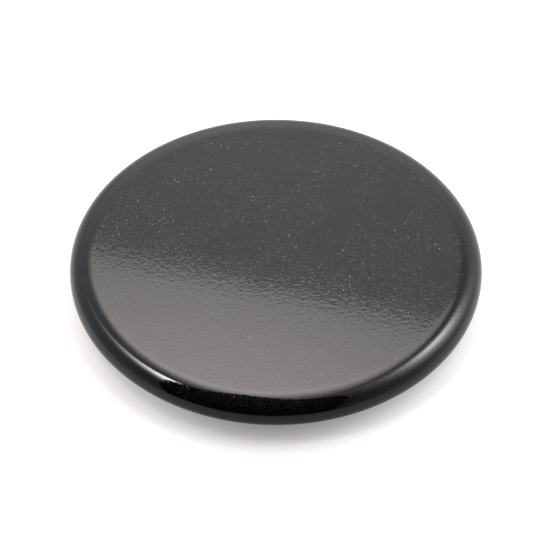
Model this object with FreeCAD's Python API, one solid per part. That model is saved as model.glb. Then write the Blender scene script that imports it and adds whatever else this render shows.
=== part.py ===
"""Gas burner cap: one enamelled steel piece, the round lid that sits on a hob burner's crown.

The whole cap is a solid of revolution about Z. Millimetres, +Z up. The origin is the middle of the
plane that the cap stands on, which is the foot of the locating ring on its underside.
"""

import FreeCAD, Part
import math
import os

# Top side
CAP_DIAMETER = 75.0  # over the rim
SHOULDER_RADIUS = 14.0  # where the flat top starts to fall towards the rim
SHOULDER_TURN_DEG = 9.0  # how far the shoulder has turned where the rim's nose takes over
NOSE_RADIUS = 2.75  # the rim is a full round nose

# Underside, from the rim inwards
SEAT_WIDTH = 6.75  # flat under the rim that rests on the burner's crown
RING_DROP = 1.2  # how far the locating ring reaches below the seat
RING_WALL = 2.5  # across the ring's foot
RING_CHAMFER = 0.4  # lead-in on both edges of the foot
RING_DRAFT_DEG = 8.0  # inside wall of the ring, so that it leaves the die
PLATE_THICKNESS = 4.5  # over the shallow dish inside the ring
DISH_FILLET = 1.0  # or as much as the dish's wall has room for

Z_AXIS = FreeCAD.Vector(0, 0, 1)
ORIGIN = FreeCAD.Vector(0, 0, 0)


def at(radius, height):
    """A point of the section, by its distance from the axis and its height."""
    return FreeCAD.Vector(radius, 0, height)


def on_circle(centre, radius, turn):
    """The point of a circle where its outward normal leans by this angle from straight up."""
    return centre + at(radius * math.sin(turn), radius * math.cos(turn))


def arc(centre, radius, start, end):
    """Arc between two leans of the normal."""
    middle = (start + end) / 2
    points = [on_circle(centre, radius, turn) for turn in (start, middle, end)]
    return Part.Arc(*points).toShape()


def line(start, end):
    return Part.LineSegment(start, end).toShape()


def rim_edges():
    """Shoulder and nose, two tangent arcs from the edge of the flat top to the lowest line of the rim."""
    turn = math.radians(SHOULDER_TURN_DEG)
    nose = at(CAP_DIAMETER / 2 - NOSE_RADIUS, RING_DROP + NOSE_RADIUS)
    shoulder = on_circle(nose, NOSE_RADIUS - SHOULDER_RADIUS, turn)
    return [
        arc(shoulder, SHOULDER_RADIUS, 0, turn),
        arc(nose, NOSE_RADIUS, turn, math.pi),
    ]


def underside_edges(rim_bottom, top_height):
    """Seat, locating ring and dish, from the lowest line of the rim to the axis."""
    ring_outer = rim_bottom.x - SEAT_WIDTH
    ring_inner = ring_outer - RING_WALL
    draft = math.tan(math.radians(RING_DRAFT_DEG))
    dish_height = top_height - PLATE_THICKNESS
    dish_edge = ring_inner - (dish_height - RING_CHAMFER) * draft
    corners = [
        rim_bottom,
        at(ring_outer, RING_DROP),
        at(ring_outer, RING_CHAMFER),
        at(ring_outer - RING_CHAMFER, 0),
        at(ring_inner + RING_CHAMFER, 0),
        at(ring_inner, RING_CHAMFER),
        at(dish_edge, dish_height),
        at(0, dish_height),
    ]
    return [line(start, end) for start, end in zip(corners, corners[1:])]


def burner_cap():
    """The section is closed along the axis and turned about it, then the dish's corner is rounded."""
    rim = rim_edges()
    top_edge = rim[0].Vertexes[0].Point
    rim_bottom = rim[-1].Vertexes[-1].Point
    top_middle = at(0, top_edge.z)
    underside = underside_edges(rim_bottom, top_edge.z)
    dish_middle = underside[-1].Vertexes[-1].Point
    dish_corner = underside[-1].Vertexes[0].Point
    outline = [line(top_middle, top_edge)] + rim + underside + [line(dish_middle, top_middle)]
    blank = Part.Face(Part.Wire(outline)).revolve(ORIGIN, Z_AXIS, 360)
    corner_edges = [
        edge
        for edge in blank.Edges
        if edge.Closed and edge.distToShape(Part.Vertex(dish_corner))[0] < Part.Precision.confusion()
    ]
    dish_wall = dish_corner.z - RING_CHAMFER
    return blank.makeFillet(min(DISH_FILLET, dish_wall), corner_edges).Solids[0]


os.makedirs("parts", exist_ok=True)
cap = burner_cap()
cap.exportStep("parts/burner_cap.step")
print("burner_cap", cap.ShapeType, "valid" if cap.isValid() else "not valid")
print("volume mm3", round(cap.Volume, 1), "height mm", round(cap.BoundBox.ZMax, 4))
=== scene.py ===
# %% [markdown]
# A gas burner cap is the round lid that lies on the crown of a hob burner and spreads the flame.
# This lesson dresses one in gloss black enamel. The part itself, at its real size, comes in as a
# fixed frame: one body called root, holding one solid called burner_cap. Whatever is made here sits
# in the same place and in the same metres, so nothing has to be fitted afterwards.

# %% The frame
import math

import bmesh
import bpy
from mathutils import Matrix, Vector


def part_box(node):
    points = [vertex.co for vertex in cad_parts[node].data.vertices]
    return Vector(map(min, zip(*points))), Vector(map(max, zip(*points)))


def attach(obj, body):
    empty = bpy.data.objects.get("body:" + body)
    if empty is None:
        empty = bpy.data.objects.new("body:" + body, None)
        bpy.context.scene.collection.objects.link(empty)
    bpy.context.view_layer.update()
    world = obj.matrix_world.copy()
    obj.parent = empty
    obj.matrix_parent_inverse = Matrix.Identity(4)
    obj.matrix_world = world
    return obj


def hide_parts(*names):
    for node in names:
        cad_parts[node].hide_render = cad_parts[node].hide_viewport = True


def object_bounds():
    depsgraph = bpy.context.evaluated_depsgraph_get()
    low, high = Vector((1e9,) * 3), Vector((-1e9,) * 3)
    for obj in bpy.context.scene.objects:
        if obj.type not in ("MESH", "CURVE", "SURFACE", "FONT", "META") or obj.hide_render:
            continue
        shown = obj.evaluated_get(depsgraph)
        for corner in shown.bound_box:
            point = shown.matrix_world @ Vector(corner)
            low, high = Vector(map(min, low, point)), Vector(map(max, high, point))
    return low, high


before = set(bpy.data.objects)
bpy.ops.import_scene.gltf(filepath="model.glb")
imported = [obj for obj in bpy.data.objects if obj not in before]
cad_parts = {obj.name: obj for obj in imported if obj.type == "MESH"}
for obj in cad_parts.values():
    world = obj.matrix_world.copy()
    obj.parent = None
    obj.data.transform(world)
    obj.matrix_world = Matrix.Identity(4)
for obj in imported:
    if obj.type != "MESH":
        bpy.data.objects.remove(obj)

cad_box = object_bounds()
mm = 0.001
low_corner, high_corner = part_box("burner_cap")
cap_radius = (high_corner.x - low_corner.x) / 2
cap_height = high_corner.z
print("cap:", round(cap_radius * 2 / mm, 2), "mm across,", round(cap_height / mm, 2), "mm high")

# %% [markdown]
# The real cap is formed as one steel piece, and its shape is a lathe shape: one section turned about
# the upright axis. The section could be a curve under a Screw modifier. Here it is a plain list of
# points, because then each stretch gets points as close as it needs: wide apart on the flats, and
# less than a quarter of a millimetre apart on the rim, whose curve bends every reflection. The radius
# and the height are read from the solid, and the other sizes are the ones that it was built with.

# %% Sizes of the section
nose_radius = 2.75 * mm  # the rim is a full round nose
shoulder_radius = 14.0 * mm  # the curve along which the flat top falls towards the rim
shoulder_turn = math.radians(9.0)  # how far the shoulder has turned where the nose takes over
seat_width = 6.75 * mm  # the flat under the rim
ring_wall = 2.5 * mm  # across the foot of the locating ring
ring_draft = math.tan(math.radians(8.0))  # slope of the ring's inside wall
plate_thickness = 4.5 * mm  # over the shallow dish inside the ring
dish_fillet = 1.0 * mm
foot_rounding = 0.65 * mm  # the glaze rounds the bevelled edges of the ring's foot
glaze_fillet = 0.35 * mm  # and pools in the inside corner beside the ring

shoulder_middle_height = cap_height - shoulder_radius
nose_offset = shoulder_radius - nose_radius
nose_middle = (
    cap_radius - nose_radius,
    shoulder_middle_height + nose_offset * math.cos(shoulder_turn),
)
shoulder_middle = (nose_middle[0] - nose_offset * math.sin(shoulder_turn), shoulder_middle_height)
seat_height = nose_middle[1] - nose_radius
ring_radius = nose_middle[0] - seat_width
ring_inside = ring_radius - ring_wall
dish_height = cap_height - plate_thickness
print("seat", round(seat_height / mm, 2), "mm up, ring", round(ring_radius * 2 / mm, 2), "mm across")

# %% [markdown]
# Three helpers draw the section as (radius, height) points. The first walks along an arc and is told
# how far the surface leans from straight up at each end. The second walks along a straight run. The
# third rounds a corner between two runs, as a file, or a coat of glass, would round it.

# %% Arcs, straight runs and rounded corners
def arc_points(middle, radius, start_lean, end_lean, spacing):
    steps = max(2, round(radius * abs(end_lean - start_lean) / spacing))
    leans = [start_lean + (end_lean - start_lean) * i / steps for i in range(steps + 1)]
    return [(middle[0] + radius * math.sin(lean), middle[1] + radius * math.cos(lean)) for lean in leans]


def straight_points(start, end, spacing):
    """Points along a run, without its first one."""
    steps = max(1, round(math.dist(start, end) / spacing))
    return [tuple(Vector(start).lerp(Vector(end), i / steps)) for i in range(1, steps + 1)]


def rounded_corner(before, corner, after, radius, steps=7):
    """The arc of this radius that touches both runs beside a corner."""
    corner = Vector(corner)
    into = (Vector(before) - corner).normalized()
    out = (Vector(after) - corner).normalized()
    half = into.angle(out) / 2
    middle = corner + (into + out).normalized() * (radius / math.sin(half))
    first = corner + into * (radius / math.tan(half)) - middle
    last = corner + out * (radius / math.tan(half)) - middle
    return [tuple(middle + first.slerp(last, i / steps) * radius) for i in range(steps + 1)]


sample = rounded_corner((2, 0), (0, 0), (0, 2), radius=1, steps=2)
print("a right angle rounded by 1:", [(round(x, 2), round(y, 2)) for x, y in sample])

# %% [markdown]
# The section starts in the middle of the top. The flat runs into the shoulder and the shoulder into
# the nose without a corner, which is what makes the reflections slide over the rim in one sweep.

# %% Section of the top and the rim
rim_spacing = 0.22 * mm
flat_spacing = 1.1 * mm
section = [(0.0, cap_height)]
section += straight_points(section[0], (shoulder_middle[0], cap_height), flat_spacing)
section += arc_points(shoulder_middle, shoulder_radius, 0, shoulder_turn, rim_spacing)[1:]
section += arc_points(nose_middle, nose_radius, shoulder_turn, math.pi, rim_spacing)[1:]
print("top and rim:", len(section), "points")

# %% [markdown]
# It goes on along the underside, back to the axis: the seat that lies on the burner's crown, the
# locating ring that drops into it, with its rounded foot, and the shallow dish inside the ring. Each
# corner of the list carries its own rounding, and a loop joins them with straight runs.

# %% Section of the underside
dish_edge = ring_inside - dish_height * ring_draft
underside = [
    (section[-1], 0),
    ((ring_radius, seat_height), glaze_fillet),
    ((ring_radius, 0.0), foot_rounding),
    ((ring_inside, 0.0), foot_rounding),
    ((dish_edge, dish_height), dish_fillet),
    ((0.0, dish_height), 0),
]
for (before, _), (corner, rounding), (after, _) in zip(underside, underside[1:], underside[2:]):
    turn = rounded_corner(before, corner, after, rounding)
    section += straight_points(section[-1], turn[0], flat_spacing) + turn[1:]
section += straight_points(section[-1], underside[-1][0], flat_spacing)
print("whole section:", len(section), "points")

# %% [markdown]
# Turning the section makes the piece. bmesh can spin a chain of edges about an axis, which gives
# clean rings of four-sided faces and a fan where the chain meets the axis. Points that fall on each
# other there are merged, and the faces are made to look outwards.

# %% The turned piece
turns = 288
same_place = 0.001 * mm
shape = bmesh.new()
chain = [shape.verts.new((radius, 0, height)) for radius, height in section]
links = [shape.edges.new(pair) for pair in zip(chain, chain[1:])]
bmesh.ops.spin(
    shape,
    geom=chain + links,
    cent=(0, 0, 0),
    axis=(0, 0, 1),
    angle=math.tau,
    steps=turns,
    use_merge=True,
)
bmesh.ops.remove_doubles(shape, verts=shape.verts, dist=same_place)
bmesh.ops.recalc_face_normals(shape, faces=shape.faces)
for face in shape.faces:
    face.smooth = True
open_edges = sum(1 for edge in shape.edges if not edge.is_manifold)
print("turned:", len(shape.verts), "points,", len(shape.faces), "faces,", open_edges, "open edges")

# %% [markdown]
# The mesh becomes an object that rides on the frame's one body and takes the place of its one solid,
# which is hidden from now on. Its slots get the coats of enamel further down.

# %% The piece in the frame
cap_mesh = bpy.data.meshes.new("burner_cap_enamelled")
shape.to_mesh(cap_mesh)
shape.free()
cap = bpy.data.objects.new("burner_cap_enamelled", cap_mesh)
bpy.context.scene.collection.objects.link(cap)
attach(cap, "root")
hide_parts("burner_cap")
print("piece:", cap.name)

# %% [markdown]
# Every finish below is a small network of nodes, so a few helpers pay off. The first adds a node,
# sets its options and fills its sockets, with a plain value or with a link from another node. The
# next three wrap the kinds that are used most: a sum, a ramp that holds its value at both ends, and a
# blend of two colours. The last two tell how far a place is from the axis.

# %% Node helpers
def add_node(tree, kind, sockets=None, **options):
    """Sockets are given by name or by place, and options are the node's own settings."""
    made = tree.nodes.new("ShaderNode" + kind)
    for name, value in options.items():
        setattr(made, name, value)
    for name, value in (sockets or {}).items():
        if isinstance(value, bpy.types.NodeSocket):
            tree.links.new(value, made.inputs[name])
        else:
            made.inputs[name].default_value = value
    return made


def calc(tree, operation, *values):
    return add_node(tree, "Math", dict(enumerate(values)), operation=operation).outputs[0]


def ramp(tree, value, start, end, low=0.0, high=1.0, smooth=False):
    """Goes from low to high while value goes from start to end."""
    ends = {"Value": value, "From Min": start, "From Max": end, "To Min": low, "To Max": high}
    course = "SMOOTHSTEP" if smooth else "LINEAR"
    return add_node(tree, "MapRange", ends, interpolation_type=course).outputs["Result"]


def blend(tree, share, first, second):
    """A colour between two; the Mix node has its colours in sockets 6 and 7 and puts out number 2."""
    sockets = {0: share, 6: (*first, 1), 7: (*second, 1)}
    return add_node(tree, "Mix", sockets, data_type="RGBA").outputs[2]


def level_part(tree, place):
    """A place with its height taken away, so that its length is the distance from the axis."""
    level = add_node(tree, "VectorMath", {0: place, 1: (1, 1, 0)}, operation="MULTIPLY")
    return level.outputs["Vector"]


def length(tree, vector):
    return add_node(tree, "VectorMath", {0: vector}, operation="LENGTH").outputs["Value"]


print("node helpers ready")

# %% [markdown]
# A finish that two materials share is built once, as a node group with named sockets, and placed in
# each material with that material's own values.

# %% Group helpers
def new_group(name, inputs, outputs):
    """An empty group with number sockets; returns it with its two end nodes."""
    group = bpy.data.node_groups.new(name, "ShaderNodeTree")
    for label, value in inputs.items():
        socket = group.interface.new_socket(label, in_out="INPUT", socket_type="NodeSocketFloat")
        socket.default_value = value
    for label in outputs:
        group.interface.new_socket(label, in_out="OUTPUT", socket_type="NodeSocketFloat")
    return group, group.nodes.new("NodeGroupInput"), group.nodes.new("NodeGroupOutput")


def use_group(tree, group, values):
    placed = tree.nodes.new("ShaderNodeGroup")
    placed.node_tree = group
    for label, value in values.items():
        placed.inputs[label].default_value = value
    return placed


print("group helpers ready")

# %% [markdown]
# Enamel is glass that was sprayed on as a wet slip and melted. It never melts quite level: a low
# swell stays in it, called orange peel, here about a millimetre from crest to crest and thousandths
# of a millimetre high. That is too low to see as a shape, but it frays the edge of whatever the gloss
# mirrors. The swell is drawn out a little one way, as the steel was rolled. As mesh it would take
# millions of points, so it is bump from a noise texture.

# %% Orange peel
rolled = (0.75, 1.0, 1.0)
orange_peel, peel_in, peel_out = new_group("orange_peel", {"Swells per metre": 1000.0}, ["Height"])
place = add_node(orange_peel, "TexCoord").outputs["Object"]
drawn_out = add_node(orange_peel, "VectorMath", {0: place, 1: rolled}, operation="MULTIPLY")
swell = add_node(
    orange_peel,
    "TexNoise",
    {
        "Vector": drawn_out.outputs["Vector"],
        "Scale": peel_in.outputs["Swells per metre"],
        "Detail": 1.5,
        "Roughness": 0.45,
    },
)
orange_peel.links.new(swell.outputs["Fac"], peel_out.inputs["Height"])
print("group:", orange_peel.name)

# %% [markdown]
# Close up, the black glass is full of pale pinpoints, where the coat holds a tiny bubble or a grain
# that didn't melt. They lie anywhere and no two are equally bright. A Voronoi texture has one random
# point in each cell of a grid: near the point is the speck, and the cell's random colour says how
# bright it is. A high power of that colour makes the bright ones scarce.

# %% One layer of specks
speck_core = 0.35  # the part of a speck's radius that is at full strength


def speck_layer(tree, place, density, size, rarity):
    """Spots of about size cells across; a higher rarity leaves fewer bright ones."""
    cells = add_node(tree, "TexVoronoi", {"Vector": place, "Scale": density})
    spot = ramp(tree, cells.outputs["Distance"], size, size * speck_core, smooth=True)
    luck = add_node(tree, "SeparateColor", {"Color": cells.outputs["Color"]}).outputs["Red"]
    return calc(tree, "MULTIPLY", spot, calc(tree, "POWER", luck, rarity))


specks, speck_in, speck_out = new_group(
    "pinpoint_specks", {"Specks per metre": 1000.0, "Dust": 0.2}, ["Mask"]
)
place = add_node(specks, "TexCoord").outputs["Object"]
density = speck_in.outputs["Specks per metre"]
bright = speck_layer(specks, place, density, size=0.235, rarity=8.0)
print("group:", specks.name)

# %% [markdown]
# A second, finer layer gives the faint dust between the bright specks. Sprayed slip settles in
# drifts, so a slow noise thins the specks in some places. Towards the rim the melt runs thin and
# holds fewer of them, so the distance from the axis thins them too.

# %% Dust, drifts and the thin rim
dust_fineness = 2.9
drift_scale = 130.0
drift_low, drift_high, thinnest_drift = 0.40, 0.56, 0.30
rim_inside, rim_outside, rim_share = cap_radius - 5.0 * mm, cap_radius - 1.5 * mm, 0.42

fine_density = calc(specks, "MULTIPLY", density, dust_fineness)
faint = speck_layer(specks, place, fine_density, size=0.36, rarity=4.0)
dust = calc(specks, "MULTIPLY", faint, speck_in.outputs["Dust"])
cloud = add_node(specks, "TexNoise", {"Vector": place, "Scale": drift_scale, "Detail": 2.0})
drift = ramp(specks, cloud.outputs["Fac"], drift_low, drift_high, low=thinnest_drift, smooth=True)
from_axis = length(specks, level_part(specks, place))
thinned = ramp(specks, from_axis, rim_inside, rim_outside, low=1.0, high=rim_share)
mask = calc(specks, "MULTIPLY", calc(specks, "MAXIMUM", bright, dust), drift)
mask = calc(specks, "MULTIPLY", mask, thinned)
specks.links.new(mask, speck_out.inputs["Mask"])
print("specks:", len(specks.nodes), "nodes")

# %% [markdown]
# Both coats of enamel are the same recipe with other amounts. Black glass lies under the specks, the
# orange peel bends the gloss, and each speck stands up as a pimple. Between the specks, bubbles too
# fine to see one by one cloud the glass, so even a plain reflection has a grain. That is the peel's
# noise once more, but finer: where it is high, the black is a touch paler and the gloss hazier. The
# index of refraction is plain glass and is the same all over, so it is set on the shader itself.

# %% The recipe for enamel
glass_index = 1.5
grain_fineness = 1.7
bubbles_start, bubbles_full = 0.45, 0.75
bubble_share = 0.018  # paleness of the most clouded glass, where a full speck has 1


def enamel(name, black, speck_tone, specks_per_metre, dust, speck_height, swells, peel_depth, haze):
    """Haze is the lowest and the highest roughness; the heights are in metres."""
    material = bpy.data.materials.new(name)
    material.use_nodes = True
    tree = material.node_tree
    shader = tree.nodes["Principled BSDF"]
    shader.inputs["IOR"].default_value = glass_index

    spots = use_group(tree, specks, {"Specks per metre": specks_per_metre, "Dust": dust}).outputs["Mask"]
    grain = use_group(tree, orange_peel, {"Swells per metre": swells * grain_fineness}).outputs["Height"]
    bubbles = ramp(tree, grain, bubbles_start, bubbles_full)
    pale = calc(tree, "MAXIMUM", spots, calc(tree, "MULTIPLY", bubbles, bubble_share))
    tree.links.new(blend(tree, pale, black, speck_tone), shader.inputs["Base Color"])
    roughness = ramp(tree, bubbles, 0.0, 1.0, low=haze[0], high=haze[1])
    tree.links.new(roughness, shader.inputs["Roughness"])

    peel = use_group(tree, orange_peel, {"Swells per metre": swells}).outputs["Height"]
    ripple = add_node(tree, "Bump", {"Height": peel, "Distance": peel_depth}).outputs["Normal"]
    pimple = add_node(tree, "Bump", {"Height": spots, "Distance": speck_height, "Normal": ripple})
    tree.links.new(pimple.outputs["Normal"], shader.inputs["Normal"])
    cap_mesh.materials.append(material)
    return material


print("glass mirrors", round(((glass_index - 1) / (glass_index + 1)) ** 2, 3), "of the light straight on")

# %% [markdown]
# The cover coat is what shows on the burner: top, rim and seat. Fired black enamel is almost as dark
# as a material gets, and all its life is in the gloss, which mirrors a twenty-fifth of the light
# straight on and much more at a low angle.

# %% Cover coat
cover_coat = enamel(
    "enamel_cover_coat",
    black=(0.0030, 0.0028, 0.0028),
    speck_tone=(0.43, 0.43, 0.45),
    specks_per_metre=1650.0,
    dust=0.44,
    speck_height=0.008 * mm,
    swells=1700.0,
    peel_depth=0.0030 * mm,
    haze=(0.008, 0.08),
)
print("material:", cover_coat.name)

# %% [markdown]
# Inside the locating ring nobody looks, so makers leave the thin first coat there. It is the same
# glass, but it is fired once, is less smooth and turns out satin instead of gloss. The faces that
# take it are found by place: inside the middle of the ring's foot, and below the middle of the plate.

# %% Ground coat
ground_coat = enamel(
    "enamel_ground_coat",
    black=(0.011, 0.011, 0.012),
    speck_tone=(0.22, 0.22, 0.23),
    specks_per_metre=1300.0,
    dust=0.35,
    speck_height=0.010 * mm,
    swells=900.0,
    peel_depth=0.012 * mm,
    haze=(0.22, 0.38),
)
ground_index = cap_mesh.materials.find(ground_coat.name)
ring_middle = ring_radius - ring_wall / 2
ground_top = dish_height + plate_thickness / 2  # the top side lies above this
inside = [face for face in cap_mesh.polygons if face.center.xy.length < ring_middle]
ground_faces = [face for face in inside if face.center.z < ground_top]
for face in ground_faces:
    face.material_index = ground_index
print("material:", ground_coat.name, "on", len(ground_faces), "faces")

# %% [markdown]
# The floor is a wide white card. In a picture like this one it is burnt out to pure white, and only a
# tight soft shadow is left under the rim. Card alone would come out grey in this light, and more
# light would wash out the black of the cap. So the card also glows by itself, in a slightly warm
# white, but only for rays that come from the camera or from a mirror: the glow is seen and lights
# nothing.

# %% The floor
floor_size = 4.0
card_tone = 0.46
card_warmth = (1.0, 0.975, 0.955, 1)
bpy.ops.mesh.primitive_plane_add(size=floor_size, location=(0, 0, cad_box[0][2]))
floor = bpy.context.object
floor.name = "floor"
white_card = bpy.data.materials.new("white_card")
white_card.use_nodes = True
card = white_card.node_tree
card_shader = card.nodes["Principled BSDF"]
card_shader.inputs["Roughness"].default_value = 1.0
card_shader.inputs["Specular IOR Level"].default_value = 0.0
card_shader.inputs["Emission Color"].default_value = card_warmth
floor.data.materials.append(white_card)
print("stage:", floor.name)

# %% [markdown]
# Where the card glows less, its real shadow stays, so the glow's strength paints the shadow's shape. The
# light comes mostly from behind the cap, so the glow is weakest straight in front of it, a painted shadow
# there, and grows on the way round to the back. It also grows outwards over the few millimetres under and
# beside the rim, which paints the shadow lighter where the real shadow opens up.

# %% The glow round the cap, which paints the shadow's shape
glow_ahead, glow_gain = 0.16, 0.50
evenness = 0.03  # keeps the glow's low point in front round instead of pointed
painted_clearing_inside, painted_clearing_outside = cap_radius - 2.5 * mm, cap_radius + 5.0 * mm
painted_shadow_clearing_gain = 0.36

spot = add_node(card, "TexCoord").outputs["Object"]
level_spot = level_part(card, spot)
heading = add_node(card, "VectorMath", {0: level_spot}, operation="NORMALIZE").outputs["Vector"]
backwards = add_node(card, "SeparateXYZ", {0: heading}).outputs["Y"]
# painted shadow: the glow is weakest in front of the cap and grows towards the back
turned_away = calc(card, "SQRT", calc(card, "ADD", backwards, 1 + evenness))
glow_round_with_painted_shadow = calc(card, "MULTIPLY_ADD", turned_away, glow_gain, glow_ahead)
# painted shadow: the glow grows outwards from under the rim, lightening the shadow's edge
painted_shadow_clearing = ramp(card, length(card, level_spot), painted_clearing_inside, painted_clearing_outside, high=painted_shadow_clearing_gain)
glow_shown = calc(card, "ADD", glow_round_with_painted_shadow, painted_shadow_clearing)
print("glow: from", round(glow_ahead + glow_gain * math.sqrt(evenness), 2), "in front of the cap")

# %% [markdown]
# The lower half of the rim is a curved mirror of the card, and the card gets another tone and glow for
# rays from a
# mirror than for the camera: a painted reflection. In front of the cap, before the dark opening of the
# tent, the mirror gets a darker card than the camera does. To the left and right, where lamps stand, it
# gets a brighter one.
# Light Path tells the kinds of ray apart.

# %% The card in the mirror of the rim, a painted reflection
painted_reflection_tone = 0.28
near_front, near_middle = -1.05 * cap_radius, -0.4 * cap_radius
far_front, near_edge = -cap_radius - 80.0 * mm, -cap_radius - 10.0 * mm
far_share = 0.2
painted_reflection_side_gain, side_width = 1.4, 0.45

path = add_node(card, "LightPath").outputs
depth = add_node(card, "SeparateXYZ", {0: spot}).outputs["Y"]
# painted reflection: mirror rays see a darker card in front of the cap
painted_reflection_darkening = ramp(card, depth, near_front, near_middle, low=painted_reflection_tone, high=card_tone)
tone = ramp(card, path["Is Glossy Ray"], 0.0, 1.0, low=card_tone, high=painted_reflection_darkening)
card.links.new(tone, card_shader.inputs["Base Color"])

# painted reflection: the mirrored glow fades far in front of the cap and is brighter to the sides
painted_reflection_glow = calc(card, "MULTIPLY", glow_round_with_painted_shadow, ramp(card, depth, far_front, near_edge, low=far_share))
off_side = calc(card, "ABSOLUTE", backwards)
painted_reflection_glow = calc(card, "MULTIPLY", painted_reflection_glow, ramp(card, off_side, 0.0, side_width, low=painted_reflection_side_gain, high=1.0))
mirrored = calc(card, "MAXIMUM", path["Is Glossy Ray"], path["Is Transmission Ray"])
glow_mirrored = calc(card, "MULTIPLY", painted_reflection_glow, mirrored)
glow = calc(card, "MULTIPLY_ADD", glow_shown, path["Is Camera Ray"], glow_mirrored)
card.links.new(glow, card_shader.inputs["Emission Strength"])
print("card:", len(card.nodes), "nodes")

# %% [markdown]
# Beyond the card stands a white dome. It is only there for the camera to look at, so it is switched
# off for every other kind of ray and lights nothing.

# %% The backdrop
bpy.ops.mesh.primitive_uv_sphere_add(segments=48, ring_count=24, radius=floor_size)
backdrop = bpy.context.object
backdrop.name = "backdrop"
white_wall = bpy.data.materials.new("white_wall")
white_wall.use_nodes = True
wall_shader = white_wall.node_tree.nodes["Principled BSDF"]
wall_shader.inputs["Base Color"].default_value = (0, 0, 0, 1)
wall_shader.inputs["Specular IOR Level"].default_value = 0.0
wall_shader.inputs["Emission Color"].default_value = (1, 1, 1, 1)
wall_shader.inputs["Emission Strength"].default_value = 1.0
backdrop.data.materials.append(white_wall)
for kind in ("diffuse", "glossy", "transmission", "volume_scatter", "shadow"):
    setattr(backdrop, "visible_" + kind, False)
print("stage:", backdrop.name)

# %% [markdown]
# Gloss black shows hardly anything but its surroundings, so the light is most of the look. Such parts
# are lit in a light tent: white cloth all round, with a dark opening in front and overhead. Lamps
# outside make bright patches on the cloth. The tent could be built from sheets and lamps. It is
# painted into the world instead, as a brightness for each direction, because that costs no geometry
# and has no noise. A place on the tent is an azimuth, measured from straight behind the cap and
# positive to the right, and an elevation, both in degrees.

# %% Places on the tent
world = bpy.data.worlds.new("light_tent")
bpy.context.scene.world = world
world.use_nodes = True
tent = world.node_tree
ray = add_node(tent, "TexCoord").outputs["Generated"]


def direction(azimuth, elevation):
    turn, lift = math.radians(azimuth), math.radians(elevation)
    return Vector((math.cos(lift) * math.sin(turn), math.cos(lift) * math.cos(turn), math.sin(lift)))


def along(vector):
    """The share of the ray that points along a vector."""
    return add_node(tent, "VectorMath", {0: ray, 1: vector}, operation="DOT_PRODUCT").outputs["Value"]


def right_of(azimuth):
    return along(direction(azimuth + 90, 0))


def left_of(azimuth):
    return along(direction(azimuth - 90, 0))


def edge_through(first, second, cloth_side):
    """How far the ray lies to the cloth's side of the straight edge through two places."""
    normal = direction(*first).cross(direction(*second)).normalized()
    if normal.dot(direction(*cloth_side)) < 0:
        normal.negate()
    return along(normal)


print("world:", world.name)

# %% [markdown]
# Brightness on the tent is made of a few simple shapes: a soft step across an edge, a bell beside a
# line, and a round patch. Masks are multiplied and lights are added.

# %% Shapes of light
def times(*values):
    product = values[0]
    for value in values[1:]:
        product = calc(tent, "MULTIPLY", product, value)
    return product


def plus(*values):
    total = values[0]
    for value in values[1:]:
        total = calc(tent, "ADD", total, value)
    return total


def step(distance, softness):
    """0 on one side of an edge, 1 on the other, and smooth in between."""
    return ramp(tent, distance, -softness, softness, smooth=True)


def bell(distance, width):
    """1 on a line, falling to about a third at width on both sides."""
    share = calc(tent, "DIVIDE", distance, width)
    return calc(tent, "EXPONENT", times(share, share, -1.0))


def patch(azimuth, elevation, spread, level):
    """A soft round light that has fallen to about a third at spread degrees from its middle."""
    sharpness = 2 / math.radians(spread) ** 2
    fall = calc(tent, "MULTIPLY_ADD", along(direction(azimuth, elevation)), sharpness, -sharpness)
    return times(calc(tent, "EXPONENT", fall), level)


def darkened(light, mask, depth):
    return times(light, calc(tent, "MULTIPLY_ADD", mask, -depth, 1.0))


print("shapes of light ready")

# %% [markdown]
# First the opening, which draws the black band along the front rim. Its right edge is straight, and
# its left edge hangs in a bend, so it is two straight stretches. The cloth is what lies outside.

# %% The opening
opening_softness = 0.012
left_high = edge_through((-19.8, 64.3), (-78.7, 65.0), cloth_side=(-60, 20))
left_low = edge_through((-98.2, 60.5), (-124.2, 14.3), cloth_side=(-60, 20))
right_edge = edge_through((3.4, 64.6), (148.0, 22.3), cloth_side=(90, 20))
left_cloth = calc(tent, "MINIMUM", left_high, left_low)
cloth_mask = step(calc(tent, "MAXIMUM", right_edge, left_cloth), opening_softness)
print("opening: three edges")

# %% [markdown]
# Then the cloth's own brightness: dim at the front, brighter at the back, darker towards the top,
# and with a wide soft glow behind the cap. A seam along the opening's right edge and an upright fold
# on each side of the lit sheet take some of it away.

# %% The cloth
front_level, back_level = 0.136, 1.52
rise_loss = 0.423
right_gain = 0.02
darkest_cloth = 0.05
seam_width, seam_depth = 0.096, 0.18
folds = ((15.5, 0.45), (-14.0, 0.20))  # azimuth and depth of each
fold_width, fold_fade = 0.090, 0.05
fold_foot, fold_head = direction(0, 42.0).z, direction(0, 54.0).z

cloth = ramp(tent, along(direction(0, 0)), -1.0, 1.0, low=front_level, high=back_level)
cloth = plus(cloth, along(Vector((right_gain, 0, -rise_loss))))
cloth = plus(calc(tent, "MAXIMUM", cloth, darkest_cloth), patch(-3.1, 35.9, spread=13.0, level=0.71))
cloth = darkened(cloth, bell(calc(tent, "MAXIMUM", right_edge, 0.0), seam_width), seam_depth)
rise = along(direction(0, 90))
above_foot = step(calc(tent, "SUBTRACT", rise, fold_foot), fold_fade)
below_head = step(calc(tent, "SUBTRACT", fold_head, rise), fold_fade)
for fold_azimuth, fold_depth in folds:
    fold = times(bell(right_of(fold_azimuth), fold_width), above_foot, below_head)
    cloth = darkened(cloth, fold, fold_depth)
print("cloth: from", front_level, "in front to", back_level, "behind")

# %% [markdown]
# On the cloth lie three kinds of light. A lit sheet hangs high behind the cap, and its sharp lower
# edge is the line that crosses the flat top. The lamp is above, so the sheet is dimmest along that
# edge. Three overlapping spots stand at the right, and a streak at the left follows the edge of the
# opening: they make the bright ends of the rim's reflection.

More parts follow.
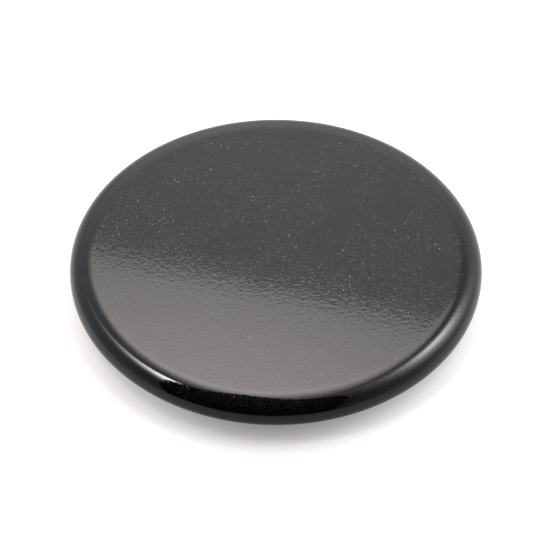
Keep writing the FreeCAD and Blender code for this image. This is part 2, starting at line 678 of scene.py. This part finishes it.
# %% The lit sheet, the spots and the streak
sheet_fade_height, sheet_fade_low, sheet_fade_high = 0.030, 0.78, 1.02
sheet_edge = edge_through((-4.9, 45.73), (3.5, 47.0), cloth_side=(0, 60))
sheet = times(
    patch(-2.8, 52.9, spread=8.5, level=5.1),
    step(sheet_edge, softness=0.0022),
    ramp(tent, sheet_edge, 0.0, sheet_fade_height, low=sheet_fade_low, high=sheet_fade_high),
    step(right_of(-12.6), softness=0.07),
    step(left_of(13.3), softness=0.028),
)
spots = plus(
    patch(29.1, 54.8, spread=4.4, level=10.5),
    patch(47.3, 54.8, spread=7.9, level=8.3),
    patch(66.9, 46.6, spread=16.0, level=3.1),
)
spots = times(spots, step(right_of(20.6), softness=0.035))
streak_reach = 0.070  # where it has fallen to about a third, away from the opening
from_edge = calc(tent, "DIVIDE", calc(tent, "MAXIMUM", left_high, 0.0), -streak_reach)
streak = times(
    patch(-40.2, 56.0, spread=15.9, level=50.0),
    calc(tent, "EXPONENT", from_edge),
    step(left_of(-29.5), softness=0.040),
)
print("lights: a sheet, three spots and a streak")

# %% [markdown]
# Lamp light on the sheet and in the streak is a little warmer than the cloth around them, so each kind
# of light gets a tint of its own before they are added. Last, the opening is cut out of the sum.

# %% Colour of the light
cloth_colour = (1.0, 0.97, 1.02)
sheet_colour = (1.07, 0.99, 0.965)
streak_colour = (1.03, 0.985, 0.985)


def tinted(level, colour):
    return add_node(tent, "VectorMath", {0: colour, "Scale": level}, operation="SCALE").outputs["Vector"]


def both(first, second):
    return add_node(tent, "VectorMath", {0: first, 1: second}, operation="ADD").outputs["Vector"]


light = both(tinted(plus(cloth, spots), cloth_colour), tinted(sheet, sheet_colour))
light = tinted(cloth_mask, both(light, tinted(streak, streak_colour)))
tent.links.new(light, tent.nodes["Background"].inputs["Color"])
print("tent:", len(tent.nodes), "nodes")

# %% [markdown]
# The camera stands a little over half a metre off and looks down at about 46 degrees, through a long
# lens that hardly narrows the far side of the cap. The Standard view shows colours as they are.

# %% Camera
camera_distance = 0.55
camera_elevation = math.radians(46.254)
looks_at = Vector((-0.17, -2.364, 3.95)) * mm
camera_data = bpy.data.cameras.new("camera")
camera_data.sensor_width = 36.0
camera_data.lens = 198.35
camera_data.clip_start = 0.01
camera = bpy.data.objects.new("camera", camera_data)
bpy.context.scene.collection.objects.link(camera)
offset = Vector((0, -math.cos(camera_elevation), math.sin(camera_elevation))) * camera_distance
camera.location = looks_at + offset
camera.rotation_euler = (-offset).to_track_quat("-Z", "Y").to_euler()
bpy.context.scene.camera = camera
bpy.context.scene.view_settings.view_transform = "Standard"
print("camera at", [round(v / mm, 1) for v in camera.location], "mm")
